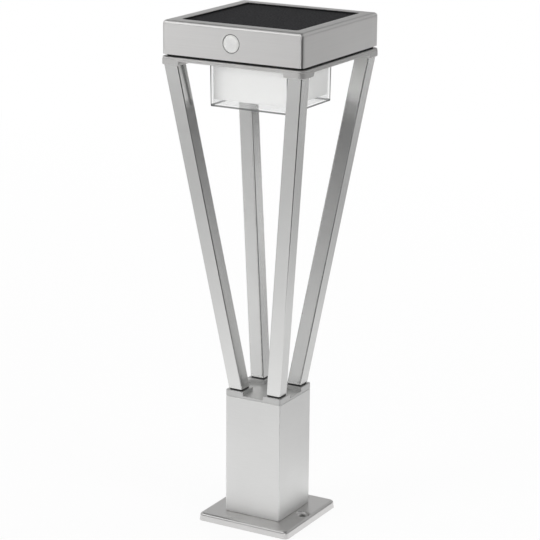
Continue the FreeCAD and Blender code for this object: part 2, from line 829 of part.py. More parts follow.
def make_battery_holder():
    top = tray_level + holder_height
    block = slab(holder_length, holder_width, tray_level, top, 0, (0, bay_centre))
    hollow_width = holder_width - 2 * holder_wall
    hollow = slab(holder_inside, hollow_width, tray_level + holder_floor, top, 0, (0, bay_centre))
    return block.cut(hollow)


def make_battery_cell():
    start = -(battery_length + battery_nub_height) / 2
    can = Part.makeCylinder(battery_radius, battery_length, at(start, bay_centre, battery_level), at(1, 0, 0))
    can = can.makeFillet(battery_nub_height / 2, can.Edges[0:1])
    nub_place = at(start + battery_length, bay_centre, battery_level)
    nub = Part.makeCylinder(battery_nub_radius, battery_nub_height, nub_place, at(1, 0, 0))
    return can.fuse(nub)


def make_battery_contacts():
    contacts = []
    for side in (-1, 1):
        x = side * (holder_inside / 2 - contact_thickness / 2)
        low = tray_level + holder_floor
        contacts.append(slab(contact_thickness, contact_width, low, low + contact_height, 0, (x, bay_centre)))
    return Part.makeCompound(contacts)


# Levels of the switch over the button's flange
switch_pocket_top = tray_level + slip + button_flange_thickness + button_travel + running_gap
switch_top = switch_pocket_top + switch_height


def make_switch_button():
    low = crown_under - button_reach
    flange_low = tray_level + slip
    stem = rod(button_radius, low, flange_low, -bay_centre, 0)
    stem = stem.makeFillet(button_edge, level_edges(stem, low, 0))
    flange = rod(button_flange_radius, flange_low, flange_low + button_flange_thickness, -bay_centre, 0)
    return stem.fuse(flange)


def make_switch_body():
    body = slab(switch_width, switch_width, tray_level, switch_top, 0, (-bay_centre, 0))
    return body.cut(rod(button_flange_radius + running_gap, tray_level, switch_pocket_top, -bay_centre, 0))


def make_lead(points):
    # Straight runs joined by tangent arcs of one radius.
    edges = []
    start = points[0]
    for i in range(1, len(points) - 1):
        corner = points[i]
        come = (corner - points[i - 1]).normalize()
        go = (points[i + 1] - corner).normalize()
        turn = math.acos(come.dot(go))
        cut_back = lead_bend * math.tan(turn / 2)
        first = corner - come * cut_back
        last = corner + go * cut_back
        inward = (go - come).normalize()
        middle = corner + inward * (lead_bend / math.cos(turn / 2) - lead_bend)
        edges.append(Part.makeLine(start, first))
        edges.append(Part.Arc(first, middle, last).toShape())
        start = last
    edges.append(Part.makeLine(start, points[-1]))
    path = Part.Wire(edges)
    ring = Part.Wire(Part.makeCircle(lead_radius, points[0], (points[1] - points[0]).normalize()))
    lead = path.makePipeShell([ring], True, False)
    wanted = math.pi * lead_radius ** 2 * path.Length
    share = lead.Volume / wanted
    print("lead", round(path.Length, 1), "mm long, volume over section times length", round(share, 4))
    return lead


def lead_routes():
    high_run = panel_under - lead_bend
    low_run = plug_block_top + 2.5 * lead_bend
    panel_x = bay_centre - 4 * lead_bend
    led_x = rim_inner / 2 - 3 * lead_bend
    sensor_back = -head_width / 2 + sensor_depth + board_thickness
    sensor_x = sensor_board_width / 4
    front_run = sensor_back + 2 * lead_bend
    holder_face = holder_length / 2
    rise_x = holder_face + 3 * lead_bend
    routes = {}
    y = plug_places["solar"]
    routes["solar_lead"] = [at(panel_x, y, panel_under), at(panel_x, y, low_run), at(bay_centre, y, low_run),
                            at(bay_centre, y, plug_block_top)]
    y = plug_places["led"]
    routes["led_lead"] = [at(led_x, y, led_board_top), at(led_x, y, high_run), at(bay_centre, y, high_run),
                          at(bay_centre, y, plug_block_top)]
    y = plug_places["switch"]
    routes["switch_lead"] = [at(-bay_centre, y, switch_top), at(-bay_centre, y, high_run),
                             at(bay_centre, y, high_run), at(bay_centre, y, plug_block_top)]
    y = plug_places["sensor"]
    routes["sensor_lead"] = [at(sensor_x, sensor_back, low_run), at(sensor_x, front_run, low_run),
                             at(bay_centre, front_run, low_run), at(bay_centre, y, low_run),
                             at(bay_centre, y, plug_block_top)]
    y = plug_places["battery"]
    routes["battery_lead"] = [at(holder_face, bay_centre, battery_level),
                              at(rise_x, bay_centre, battery_level), at(rise_x, bay_centre, low_run),
                              at(bay_centre, bay_centre, low_run), at(bay_centre, y, low_run),
                              at(bay_centre, y, plug_block_top)]
    return routes


def make_parts():
    parts = {
        "base_plate": make_base_plate(),
        "post_foot_insert": make_post_foot_insert(),
        "insert_screws": make_insert_screws(),
        "post_tube": make_post_tube(),
        "tie_rod": make_tie_rod(),
        "tie_rod_washer": make_tie_rod_washer(),
        "tie_rod_nut": make_tie_rod_nut(),
        "post_cap": make_post_cap(),
        "leg_foot_plugs": Part.makeCompound([make_foot_plug(sx, sy) for sx, sy in corners]),
        "leg_foot_screws": make_foot_screws(),
        "leg_top_plugs": Part.makeCompound([make_top_plug(sx, sy) for sx, sy in corners]),
        "leg_top_screws": make_top_screws(),
        "leg_crown": make_leg_crown(),
        "head_floor": make_head_floor(),
        "cover_screws": make_cover_screws(),
        "head_seal": make_head_seal(),
        "head_cover": make_head_cover(),
        "head_tray": make_head_tray(),
        "panel_gasket": make_panel_gasket(),
        "solar_glass": make_solar_glass(),
        "solar_cells": make_solar_cells(),
        "panel_board": make_panel_board(),
        "sensor_lens": make_sensor_lens(),
        "sensor_holder": make_sensor_holder(),
        "sensor_can": make_sensor_can(),
        "sensor_board": make_sensor_board(),
        "lens_box": make_lens_box(),
        "inner_diffuser": make_inner_diffuser(),
        "lens_seal": make_lens_seal(),
        "led_board": make_led_board(),
        "led_chips": make_led_chips(),
        "control_board": make_control_board(),
        "board_screws": make_board_screws(),
        "board_components": make_board_components(),
        "lead_connectors": make_lead_connectors(),
        "battery_holder": make_battery_holder(),
        "battery_cell": make_battery_cell(),
        "battery_contacts": make_battery_contacts(),
        "switch_body": make_switch_body(),
        "switch_button": make_switch_button(),
    }
    for name, (side_x, side_y) in zip(("front_left", "front_right", "rear_left", "rear_right"), corners):
        parts["leg_" + name] = make_leg(side_x, side_y)
    for name, points in lead_routes().items():
        parts[name] = make_lead(points)
    return parts


os.makedirs("parts", exist_ok=True)
for name, shape in make_parts().items():
    if not shape.isValid():
        print("not valid:", name)
    shape.exportStep("parts/" + name + ".step")
print("overall height", head_top)
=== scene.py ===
import json
import math

import bpy
from mathutils import Matrix, Vector


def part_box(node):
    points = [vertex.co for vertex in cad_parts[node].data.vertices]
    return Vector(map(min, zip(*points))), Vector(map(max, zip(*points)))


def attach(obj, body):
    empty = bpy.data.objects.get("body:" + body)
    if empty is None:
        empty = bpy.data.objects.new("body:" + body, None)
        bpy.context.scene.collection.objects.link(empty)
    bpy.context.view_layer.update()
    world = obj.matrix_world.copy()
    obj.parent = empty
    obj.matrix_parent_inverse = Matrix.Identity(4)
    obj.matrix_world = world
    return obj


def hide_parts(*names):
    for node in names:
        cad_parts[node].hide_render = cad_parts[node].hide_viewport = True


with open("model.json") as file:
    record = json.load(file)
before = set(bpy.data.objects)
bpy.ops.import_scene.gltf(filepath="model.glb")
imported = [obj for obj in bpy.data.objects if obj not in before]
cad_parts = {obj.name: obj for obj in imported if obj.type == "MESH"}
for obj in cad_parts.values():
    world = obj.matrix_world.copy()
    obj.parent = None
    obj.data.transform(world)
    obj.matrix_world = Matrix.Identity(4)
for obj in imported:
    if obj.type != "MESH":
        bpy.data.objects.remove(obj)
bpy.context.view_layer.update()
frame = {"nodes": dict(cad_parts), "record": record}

# Solar ground light in stainless steel. Metres, in the frame of the solids: +Z up, the sensor looks along -Y.

lampBody = "lamp"
mmPerMetre = 1000
# most values of a noise texture lie between these, so a finish's two colours are spread over them
wideSpan = (0.3, 0.7)
narrowSpan = (0.35, 0.65)
print("frame loaded,", len(frame["nodes"]), "nodes")


def linear(hexColour):
    parts = [int(hexColour[i:i + 2], 16) / 255 for i in (1, 3, 5)]
    return tuple(c / 12.92 if c <= 0.04045 else ((c + 0.055) / 1.055) ** 2.4 for c in parts) + (1.0,)


def perMm(size):
    return mmPerMetre / size  # texture scale for a feature of that many millimetres


def addNode(tree, kind, settings=None, links=None):
    node = tree.nodes.new(kind)
    for name, value in (settings or {}).items():
        if name == "stops":  # a ramp's places and colours
            for i, (place, hexColour) in enumerate(value):
                stop = node.color_ramp.elements[i] if i < 2 else node.color_ramp.elements.new(place)
                stop.position = place
                stop.color = linear(hexColour)
        elif isinstance(name, str) and hasattr(node, name):
            setattr(node, name, value)
        else:
            node.inputs[name].default_value = value
    for name, source in (links or {}).items():
        tree.links.new(source, node.inputs[name])
    return node


def newMaterial(name):
    material = bpy.data.materials.new(name)
    material.use_nodes = True
    material.node_tree.nodes.clear()
    return material, material.node_tree


# Stainless belt brushed: fine level scratches that draw every reflection out upwards and downwards
brushedSteels = {
    # sheet of the head cover: long scratches and a broad sheen
    "brushedStainless": {
        "colours": ("#e2e1e0", "#ebeae9"),
        "rough": (0.29, 0.35),
        "anisotropic": 0.92,
        "scratchWidth": 0.5,  # mm; real ones are near 0.1, drawn coarser to show
        "scratchLength": 90,
        "scratchDepth": 0.002,
        "cloudSize": 55,
        "cloudShare": 0.4,
    },
    # square tube of the legs, ground finer and glossier
    "satinStainless": {
        "colours": ("#e0e0df", "#e8e8e7"),
        "rough": (0.16, 0.20),
        "anisotropic": 0.95,
        "scratchWidth": 0.45,
        "scratchLength": 14,
        "scratchDepth": 0.002,
        "cloudSize": 40,
        "cloudShare": 0.4,
    },
    # wide tube of the post, ground to a soft even sheen that hardly mirrors
    "fineSatinStainless": {
        "colours": ("#ececeb", "#f3f3f2"),
        "rough": (0.44, 0.50),
        "anisotropic": 0.5,
        "scratchWidth": 0.4,
        "scratchLength": 14,
        "scratchDepth": 0.0015,
        "cloudSize": 40,
        "cloudShare": 0.4,
    },
}
lidRise = 0.7  # a face whose normal rises by more than this takes the grain of a lid
quarterTurn = 0.25  # the gloss spreads across the scratches


def makeBrushedSteel(name):
    s = brushedSteels[name]
    material, tree = newMaterial(name)
    place = addNode(tree, "ShaderNodeTexCoord")
    facing = addNode(tree, "ShaderNodeNewGeometry")
    along, across = perMm(s["scratchLength"]), perMm(s["scratchWidth"])
    onWalls = addNode(tree, "ShaderNodeMapping", {"Scale": (along, along, across)},
                      {"Vector": place.outputs["Object"]})
    onLid = addNode(tree, "ShaderNodeMapping", {"Scale": (along, across, along)},
                    {"Vector": place.outputs["Object"]})
    axes = addNode(tree, "ShaderNodeSeparateXYZ", links={"Vector": facing.outputs["True Normal"]})
    rise = addNode(tree, "ShaderNodeMath", {"operation": "ABSOLUTE"}, {0: axes.outputs["Z"]})
    isLid = addNode(tree, "ShaderNodeMath", {"operation": "GREATER_THAN", 1: lidRise}, {0: rise.outputs[0]})
    spread = addNode(tree, "ShaderNodeMix", {"data_type": "VECTOR"},
                     {0: isLid.outputs[0], 4: onWalls.outputs[0], 5: onLid.outputs[0]})
    scratch = addNode(tree, "ShaderNodeTexNoise", {"Scale": 1.0, "Detail": 5.0, "Roughness": 0.7},
                      {"Vector": spread.outputs[1]})
    cloud = addNode(tree, "ShaderNodeTexNoise", {"Scale": perMm(s["cloudSize"]), "Detail": 2.0},
                    {"Vector": place.outputs["Object"]})
    blend = addNode(tree, "ShaderNodeMix", {"data_type": "FLOAT", 0: s["cloudShare"]},
                    {2: scratch.outputs["Fac"], 3: cloud.outputs["Fac"]})
    colour = addNode(tree, "ShaderNodeValToRGB", {"stops": tuple(zip(wideSpan, s["colours"]))},
                     {"Fac": blend.outputs[0]})
    rough = addNode(tree, "ShaderNodeMapRange",
                    {"From Min": wideSpan[0], "From Max": wideSpan[1],
                     "To Min": s["rough"][0], "To Max": s["rough"][1]},
                    {"Value": scratch.outputs["Fac"]})
    bump = addNode(tree, "ShaderNodeBump", {"Strength": 1.0, "Distance": s["scratchDepth"] / mmPerMetre},
                   {"Height": scratch.outputs["Fac"]})
    # the scratches run level round the walls and along X on the lid
    level = addNode(tree, "ShaderNodeVectorMath", {"operation": "CROSS_PRODUCT", 1: (0, 0, 1)},
                    {0: facing.outputs["True Normal"]})
    grain = addNode(tree, "ShaderNodeMix", {"data_type": "VECTOR", 5: (1, 0, 0)},
                    {0: isLid.outputs[0], 4: level.outputs[0]})
    steel = addNode(tree, "ShaderNodeBsdfPrincipled",
                    {"Metallic": 1.0, "Anisotropic": s["anisotropic"], "Anisotropic Rotation": quarterTurn},
                    {"Base Color": colour.outputs[0], "Roughness": rough.outputs[0],
                     "Normal": bump.outputs[0], "Tangent": grain.outputs[1]})
    addNode(tree, "ShaderNodeOutputMaterial", links={"Surface": steel.outputs[0]})
    return material


# Plain stainless finishes: a grain stretched along the tool's path, with slow clouds from rolling or handling
plainSteels = {
    # bead blasted casting of the cap: a dull even grey
    "blastedStainless": {"colours": ("#d2d2d1", "#dadad9"), "rough": (0.38, 0.46), "grain": (0.6, 0.6, 0.6),
                         "depth": 0.004, "cloud": 12, "cloudShare": 0.5},
    # cold rolled sheet pressed to shape: smooth enough to show the post softly
    "pressedStainless": {"colours": ("#d4d3d2", "#dcdbda"), "rough": (0.30, 0.36), "grain": (0.8, 0.8, 0.8),
                         "depth": 0.0015, "cloud": 14, "cloudShare": 0.5},
    # laser cut plate, linished flat: grey, without a lengthwise shine
    "linishedStainless": {"colours": ("#e0dfde", "#e8e7e6"), "rough": (0.56, 0.64), "grain": (6, 6, 0.9),
                          "depth": 0.002, "cloud": 25, "cloudShare": 0.5},
}


def makePlainSteel(name):
    s = plainSteels[name]
    material, tree = newMaterial(name)
    place = addNode(tree, "ShaderNodeTexCoord")
    stretch = addNode(tree, "ShaderNodeMapping", {"Scale": tuple(perMm(size) for size in s["grain"])},
                      {"Vector": place.outputs["Object"]})
    grain = addNode(tree, "ShaderNodeTexNoise", {"Scale": 1.0, "Detail": 4.0, "Roughness": 0.6},
                    {"Vector": stretch.outputs[0]})
    cloud = addNode(tree, "ShaderNodeTexNoise", {"Scale": perMm(s["cloud"]), "Detail": 3.0},
                    {"Vector": place.outputs["Object"]})
    blend = addNode(tree, "ShaderNodeMix", {"data_type": "FLOAT", 0: s["cloudShare"]},
                    {2: grain.outputs["Fac"], 3: cloud.outputs["Fac"]})
    colour = addNode(tree, "ShaderNodeValToRGB", {"stops": tuple(zip(narrowSpan, s["colours"]))},
                     {"Fac": blend.outputs[0]})
    rough = addNode(tree, "ShaderNodeMapRange",
                    {"From Min": narrowSpan[0], "From Max": narrowSpan[1],
                     "To Min": s["rough"][0], "To Max": s["rough"][1]},
                    {"Value": blend.outputs[0]})
    bump = addNode(tree, "ShaderNodeBump", {"Strength": 1.0, "Distance": s["depth"] / mmPerMetre},
                   {"Height": grain.outputs["Fac"]})
    steel = addNode(tree, "ShaderNodeBsdfPrincipled", {"Metallic": 1.0},
                    {"Base Color": colour.outputs[0], "Roughness": rough.outputs[0],
                     "Normal": bump.outputs[0]})
    addNode(tree, "ShaderNodeOutputMaterial", links={"Surface": steel.outputs[0]})
    return material


# Small parts that differ only in finish: a mottle between two colours, with its own gloss and grain in mm
plainFinishes = {
    # zinc plated steel, bright and faintly blue with a yellow cast where it is thin
    "zincPlatedSteel": {"colours": ("#b9bcc2", "#cfcfc8"), "metallic": 1.0, "rough": (0.22, 0.34),
                        "grain": 0.6, "depth": 0.003},
    # ABS moulded in a spark eroded tool: even fine grain, matt black
    "mouldedBlackAbs": {"colours": ("#141414", "#1e1e1e"), "metallic": 0.0, "rough": (0.5, 0.62),
                        "grain": 0.5, "depth": 0.02},
    # silicone rubber moulded soft: dull, a little dusty
    "mouldedSilicone": {"colours": ("#2a2a2b", "#343435"), "metallic": 0.0, "rough": (0.6, 0.75),
                        "grain": 0.8, "depth": 0.01},
    # EPDM rubber cut and moulded: deep black with hardly any shine; as the ring in the gap under the head it
    # is partly a seal and partly painted shade, deepening that shadow gap
    "blackEpdm": {"colours": ("#060606", "#0c0c0c"), "metallic": 0.0, "rough": (0.7, 0.8),
                  "grain": 0.7, "depth": 0.01},
    # glass fibre board under green solder mask: the weave shows as a faint mottle
    "solderMaskBoard": {"colours": ("#0f4a26", "#17603a"), "metallic": 0.0, "rough": (0.3, 0.42),
                        "grain": 0.9, "depth": 0.006},
    # aluminium board under white solder mask, as used behind LEDs
    "whiteMaskBoard": {"colours": ("#e4e4e1", "#efefec"), "metallic": 0.0, "rough": (0.35, 0.45),
                       "grain": 1.2, "depth": 0.004},
    # phosphor set in silicone gel: yellow and glossy
    "phosphorGel": {"colours": ("#e0c04a", "#f0d873"), "metallic": 0.0, "rough": (0.2, 0.3),
                    "grain": 0.4, "depth": 0.002},
    # nylon moulded, natural colour: off-white and slightly waxy
    "naturalNylon": {"colours": ("#cfcabb", "#dedacc"), "metallic": 0.0, "rough": (0.4, 0.5),
                     "grain": 0.7, "depth": 0.006},
    # tinned steel can: smooth grey metal
    "tinnedSteel": {"colours": ("#b4b4b2", "#c6c6c4"), "metallic": 1.0, "rough": (0.16, 0.26),
                    "grain": 0.8, "depth": 0.002},
    # PVC shrink sleeve: blue and glossy with slight ripples
    "shrinkSleeve": {"colours": ("#1d4f86", "#25609c"), "metallic": 0.0, "rough": (0.2, 0.3),
                     "grain": 3.0, "depth": 0.03},
    # PVC insulation pulled over the strands: satin black
    "pvcInsulation": {"colours": ("#17171a", "#232327"), "metallic": 0.0, "rough": (0.4, 0.5),
                      "grain": 1.2, "depth": 0.01},
}


def makePlainFinish(name):
    s = plainFinishes[name]
    material, tree = newMaterial(name)
    place = addNode(tree, "ShaderNodeTexCoord")
    grain = addNode(tree, "ShaderNodeTexNoise", {"Scale": perMm(s["grain"]), "Detail": 3.0},
                    {"Vector": place.outputs["Object"]})
    colour = addNode(tree, "ShaderNodeValToRGB", {"stops": tuple(zip(narrowSpan, s["colours"]))},
                     {"Fac": grain.outputs["Fac"]})
    rough = addNode(tree, "ShaderNodeMapRange",
                    {"From Min": wideSpan[0], "From Max": wideSpan[1],
                     "To Min": s["rough"][0], "To Max": s["rough"][1]},
                    {"Value": grain.outputs["Fac"]})
    bump = addNode(tree, "ShaderNodeBump", {"Strength": 1.0, "Distance": s["depth"] / mmPerMetre},
                   {"Height": grain.outputs["Fac"]})
    shader = addNode(tree, "ShaderNodeBsdfPrincipled", {"Metallic": s["metallic"]},
                     {"Base Color": colour.outputs[0], "Roughness": rough.outputs[0],
                      "Normal": bump.outputs[0]})
    addNode(tree, "ShaderNodeOutputMaterial", links={"Surface": shader.outputs[0]})
    return material


# PMMA injection moulded, clear with a faint haze: hardly tints what is behind; grey along the thick edges,
# partly from the more plastic looked through there and partly painted shade for the dark that the edges
# refract
clearAcrylic = {
    "wall": "#d4d5d5",
    # painted shade along the edges, in place of the dark they refract
    "edge": "#585a5a",
    "alpha": (0.14, 0.85),
    "ior": 1.49,
    "rough": (0.02, 0.05),
    "hazeSize": 22,
    "hazeSpan": (0.35, 0.75),
    "halfWidth": 42.2,  # mm, of the walls below the flange
    "paintedEdgeWidth": 1.8,
    "rimLevel": 1.0,  # middle of the bottom rim above the underside
    "rimHalf": 0.9,
}


def makeClearAcrylic():
    s = clearAcrylic
    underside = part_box("lens_box")[0].z
    inside = (s["halfWidth"] - s["paintedEdgeWidth"]) / mmPerMetre
    material, tree = newMaterial("clearAcrylic")
    place = addNode(tree, "ShaderNodeTexCoord")
    haze = addNode(tree, "ShaderNodeTexNoise", {"Scale": perMm(s["hazeSize"]), "Detail": 2.0},
                   {"Vector": place.outputs["Object"]})
    rough = addNode(tree, "ShaderNodeMapRange",
                    {"From Min": s["hazeSpan"][0], "From Max": s["hazeSpan"][1],
                     "To Min": s["rough"][0], "To Max": s["rough"][1]},
                    {"Value": haze.outputs["Fac"]})
    # an edge is where two outer faces of the box meet: an upright corner, or the rim of the bottom; there the
    # painted shade makes the box grey and less clear
    lengths = addNode(tree, "ShaderNodeVectorMath", {"operation": "ABSOLUTE"}, {0: place.outputs["Object"]})
    axes = addNode(tree, "ShaderNodeSeparateXYZ", links={"Vector": lengths.outputs[0]})
    least = addNode(tree, "ShaderNodeMath", {"operation": "MINIMUM"},
                    {0: axes.outputs["X"], 1: axes.outputs["Y"]})
    most = addNode(tree, "ShaderNodeMath", {"operation": "MAXIMUM"},
                   {0: axes.outputs["X"], 1: axes.outputs["Y"]})
    isCorner = addNode(tree, "ShaderNodeMath", {"operation": "GREATER_THAN", 1: inside},
                       {0: least.outputs[0]})
    isOuter = addNode(tree, "ShaderNodeMath", {"operation": "GREATER_THAN", 1: inside},
                      {0: most.outputs[0]})
    isLow = addNode(tree, "ShaderNodeMath",
                    {"operation": "COMPARE", 1: underside + s["rimLevel"] / mmPerMetre,
                     2: s["rimHalf"] / mmPerMetre},
                    {0: axes.outputs["Z"]})
    isRim = addNode(tree, "ShaderNodeMath", {"operation": "MULTIPLY"},
                    {0: isOuter.outputs[0], 1: isLow.outputs[0]})
    paintedEdgeShade = addNode(tree, "ShaderNodeMath", {"operation": "MAXIMUM"},
                     {0: isCorner.outputs[0], 1: isRim.outputs[0]})
    colour = addNode(tree, "ShaderNodeMix", {"data_type": "RGBA", 6: linear(s["wall"]), 7: linear(s["edge"])},
                     {0: paintedEdgeShade.outputs[0]})
    alpha = addNode(tree, "ShaderNodeMapRange", {"To Min": s["alpha"][0], "To Max": s["alpha"][1]},
                    {"Value": paintedEdgeShade.outputs[0]})
    acrylic = addNode(tree, "ShaderNodeBsdfPrincipled", {"IOR": s["ior"]},
                      {"Base Color": colour.outputs[2], "Roughness": rough.outputs[0],
                       "Alpha": alpha.outputs[0]})
    addNode(tree, "ShaderNodeOutputMaterial", links={"Surface": acrylic.outputs[0]})
    return material


# PMMA moulded in an etched tool: frosted and nearly white, without a clear view through it
frostedAcrylic = {"colours": ("#ebebea", "#f1f1f0"), "ior": 1.3, "rough": 0.5, "transmission": 0.05,
                  "frostSize": 0.8, "frostDepth": 0.004}


def makeFrostedAcrylic():
    s = frostedAcrylic
    material, tree = newMaterial("frostedAcrylic")
    place = addNode(tree, "ShaderNodeTexCoord")
    frost = addNode(tree, "ShaderNodeTexNoise", {"Scale": perMm(s["frostSize"]), "Detail": 2.0},
                    {"Vector": place.outputs["Object"]})
    colour = addNode(tree, "ShaderNodeValToRGB", {"stops": tuple(zip(narrowSpan, s["colours"]))},
                     {"Fac": frost.outputs["Fac"]})
    bump = addNode(tree, "ShaderNodeBump", {"Strength": 1.0, "Distance": s["frostDepth"] / mmPerMetre},
                   {"Height": frost.outputs["Fac"]})
    acrylic = addNode(tree, "ShaderNodeBsdfPrincipled",
                      {"IOR": s["ior"], "Roughness": s["rough"], "Transmission Weight": s["transmission"]},
                      {"Base Color": colour.outputs[0], "Normal": bump.outputs[0]})
    addNode(tree, "ShaderNodeOutputMaterial", links={"Surface": acrylic.outputs[0]})
    return material


# Polyethylene moulded thin: milky and softly glossy, greyer in the middle where the dark inside shows through
milkyPolythene = {
    "middle": "#c6c6c6",
    "rim": "#d9d9d7",
    "middleShare": 0.25,  # of the radius that is all grey
    "toneSpan": (0.1, 0.8),
    "rough": 0.18,
    "specular": 0.9,
    "mottle": 2.0,  # mm
    "mottleShare": 0.3,
}


def makeMilkyPolythene():
    s = milkyPolythene
    low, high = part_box("sensor_lens")
    middle = (low + high) / 2
    radius = (high.x - low.x) / 2
    material, tree = newMaterial("milkyPolythene")
    place = addNode(tree, "ShaderNodeTexCoord")
    mottle = addNode(tree, "ShaderNodeTexNoise", {"Scale": perMm(s["mottle"]), "Detail": 2.0},
                     {"Vector": place.outputs["Object"]})
    away = addNode(tree, "ShaderNodeVectorMath", {"operation": "DISTANCE", 1: tuple(middle)},
                   {0: place.outputs["Object"]})
    share = addNode(tree, "ShaderNodeMapRange",
                    {"From Min": s["middleShare"] * radius, "From Max": radius},
                    {"Value": away.outputs["Value"]})
    blend = addNode(tree, "ShaderNodeMix", {"data_type": "FLOAT", 0: s["mottleShare"]},
                    {2: share.outputs[0], 3: mottle.outputs["Fac"]})
    colour = addNode(tree, "ShaderNodeValToRGB",
                     {"stops": tuple(zip(s["toneSpan"], (s["middle"], s["rim"])))},
                     {"Fac": blend.outputs[0]})
    plastic = addNode(tree, "ShaderNodeBsdfPrincipled",
                      {"Roughness": s["rough"], "Specular IOR Level": s["specular"]},
                      {"Base Color": colour.outputs[0]})
    addNode(tree, "ShaderNodeOutputMaterial", links={"Surface": plastic.outputs[0]})
    return material


# Rolled solar glass over black cells: a fine pebbled face that scatters the sky, near black from every side
pebbledGlass = {
    "dark": "#040405",
    "light": "#424244",
    "rough": 0.6,
    "specular": 0.01,
    "pebble": 1.7,  # mm, about three times the real one so that the grain shows
    "pebbleDepth": 0.03,
}


def makePebbledGlass():
    s = pebbledGlass
    material, tree = newMaterial("pebbledSolarGlass")
    place = addNode(tree, "ShaderNodeTexCoord")
    pebble = addNode(tree, "ShaderNodeTexVoronoi", {"Scale": perMm(s["pebble"])},
                     {"Vector": place.outputs["Object"]})
    speck = addNode(tree, "ShaderNodeTexNoise",
                    {"Scale": perMm(s["pebble"]), "Detail": 3.0, "Roughness": 0.7},
                    {"Vector": place.outputs["Object"]})
    colour = addNode(tree, "ShaderNodeValToRGB",
                     {"stops": tuple(zip(wideSpan, (s["dark"], s["light"])))},
                     {"Fac": speck.outputs["Fac"]})
    bump = addNode(tree, "ShaderNodeBump", {"Strength": 1.0, "Distance": s["pebbleDepth"] / mmPerMetre},
                   {"Height": pebble.outputs["Distance"]})
    glass = addNode(tree, "ShaderNodeBsdfPrincipled",
                    {"Roughness": s["rough"], "Specular IOR Level": s["specular"]},
                    {"Base Color": colour.outputs[0], "Normal": bump.outputs[0]})
    addNode(tree, "ShaderNodeOutputMaterial", links={"Surface": glass.outputs[0]})
    return material


# Monocrystalline silicon, etched black with printed silver fingers
siliconCell = {"black": "#101218", "silver": "#8d8f94", "fingerPitch": 1.6, "fingerShare": 0.08, "rough": 0.3}


def makeSiliconCell():
    s = siliconCell
    material, tree = newMaterial("siliconCell")
    place = addNode(tree, "ShaderNodeTexCoord")
    axes = addNode(tree, "ShaderNodeSeparateXYZ", links={"Vector": place.outputs["Object"]})
    count = addNode(tree, "ShaderNodeMath", {"operation": "MULTIPLY", 1: perMm(s["fingerPitch"])},
                    {0: axes.outputs["X"]})
    saw = addNode(tree, "ShaderNodeMath", {"operation": "FRACT"}, {0: count.outputs[0]})
    finger = addNode(tree, "ShaderNodeMath", {"operation": "LESS_THAN", 1: s["fingerShare"]},
                     {0: saw.outputs[0]})
    colour = addNode(tree, "ShaderNodeMix",
                     {"data_type": "RGBA", 6: linear(s["black"]), 7: linear(s["silver"])},
                     {0: finger.outputs[0]})
    cell = addNode(tree, "ShaderNodeBsdfPrincipled", {"Roughness": s["rough"]},
                   {"Base Color": colour.outputs[2]})
    addNode(tree, "ShaderNodeOutputMaterial", links={"Surface": cell.outputs[0]})
    return material


finishes = {name: makePlainFinish(name) for name in plainFinishes}
finishes.update({name: makePlainSteel(name) for name in plainSteels})
finishes.update({name: makeBrushedSteel(name) for name in brushedSteels})
finishes.update({
    "clearAcrylic": makeClearAcrylic(),
    "frostedAcrylic": makeFrostedAcrylic(),
    "milkyPolythene": makeMilkyPolythene(),
    "pebbledSolarGlass": makePebbledGlass(),
    "siliconCell": makeSiliconCell(),
})
print("materials made,", len(finishes))

# Which finish each slot of the record takes, and the nodes in a slot that are finished otherwise
slotFinish = {
    "brushed_stainless": "brushedStainless",
    "satin_stainless": "satinStainless",
    "pressed_stainless": "pressedStainless",
    "zinc_steel": "zincPlatedSteel",
    "black_plastic": "mouldedBlackAbs",
    "button_silicone": "mouldedSilicone",
    "black_rubber": "blackEpdm",
    "clear_acrylic": "clearAcrylic",
    "opal_plastic": "frostedAcrylic",
    "sensor_plastic": "milkyPolythene",
    "solar_glass": "pebbledSolarGlass",
    "silicon_cell": "siliconCell",
    "circuit_board": "solderMaskBoard",
    "led_board_white": "whiteMaskBoard",
    "led_phosphor": "phosphorGel",
    "connector_plastic": "naturalNylon",
    "tin_can": "tinnedSteel",
    "battery_wrap": "shrinkSleeve",
    "lead_jacket": "pvcInsulation",
}
nodeFinish = {
    "leg_crown": "linishedStainless",
    "head_floor": "linishedStainless",
    "post_cap": "blastedStainless",
    "post_tube": "fineSatinStainless",
}
for part in frame["record"]["subparts"]:
    mesh = frame["nodes"][part["node"]].data
    mesh.materials.clear()
    mesh.materials.append(finishes[nodeFinish.get(part["node"], slotFinish[part["material_slot"]])])
frame["nodes"]["lens_box"].visible_shadow = False  # clear, so the light reaches the diffuser in it


def meshPiece(name, points, faces, material):
    mesh = bpy.data.meshes.new(name)
    mesh.from_pydata(points, [], faces)
    mesh.materials.append(material)
    piece = bpy.data.objects.new(name, mesh)
    bpy.context.scene.collection.objects.link(piece)
    return piece


# Sensor dome in millimetres: one lenslet in the middle and two rings of them, each a shallow pillow
sensorDome = {
    "bulge": 3.0,  # as in the solid
    "trim": 0.2,  # off the solid's radius, so that the dark ring round the dome shows
    "edge": 0.4,
    "lip": 0.75,
    "wall": 1.0,
    "zones": ((0.0, 2.3, 1), (2.3, 5.1, 6), (5.1, 7.8, 10)),  # inner and outer radius, lenslets in the ring
    "plainRows": (7.9, 8.0),  # radii between the lenslets and the edge
    "pillowDepth": 0.3,
    "rowsPerZone": 8,
    "firstRow": 0.04,  # of a row's width: the middle is a tiny ring, not a point
    "innerRows": 10,
    "around": 120,
}


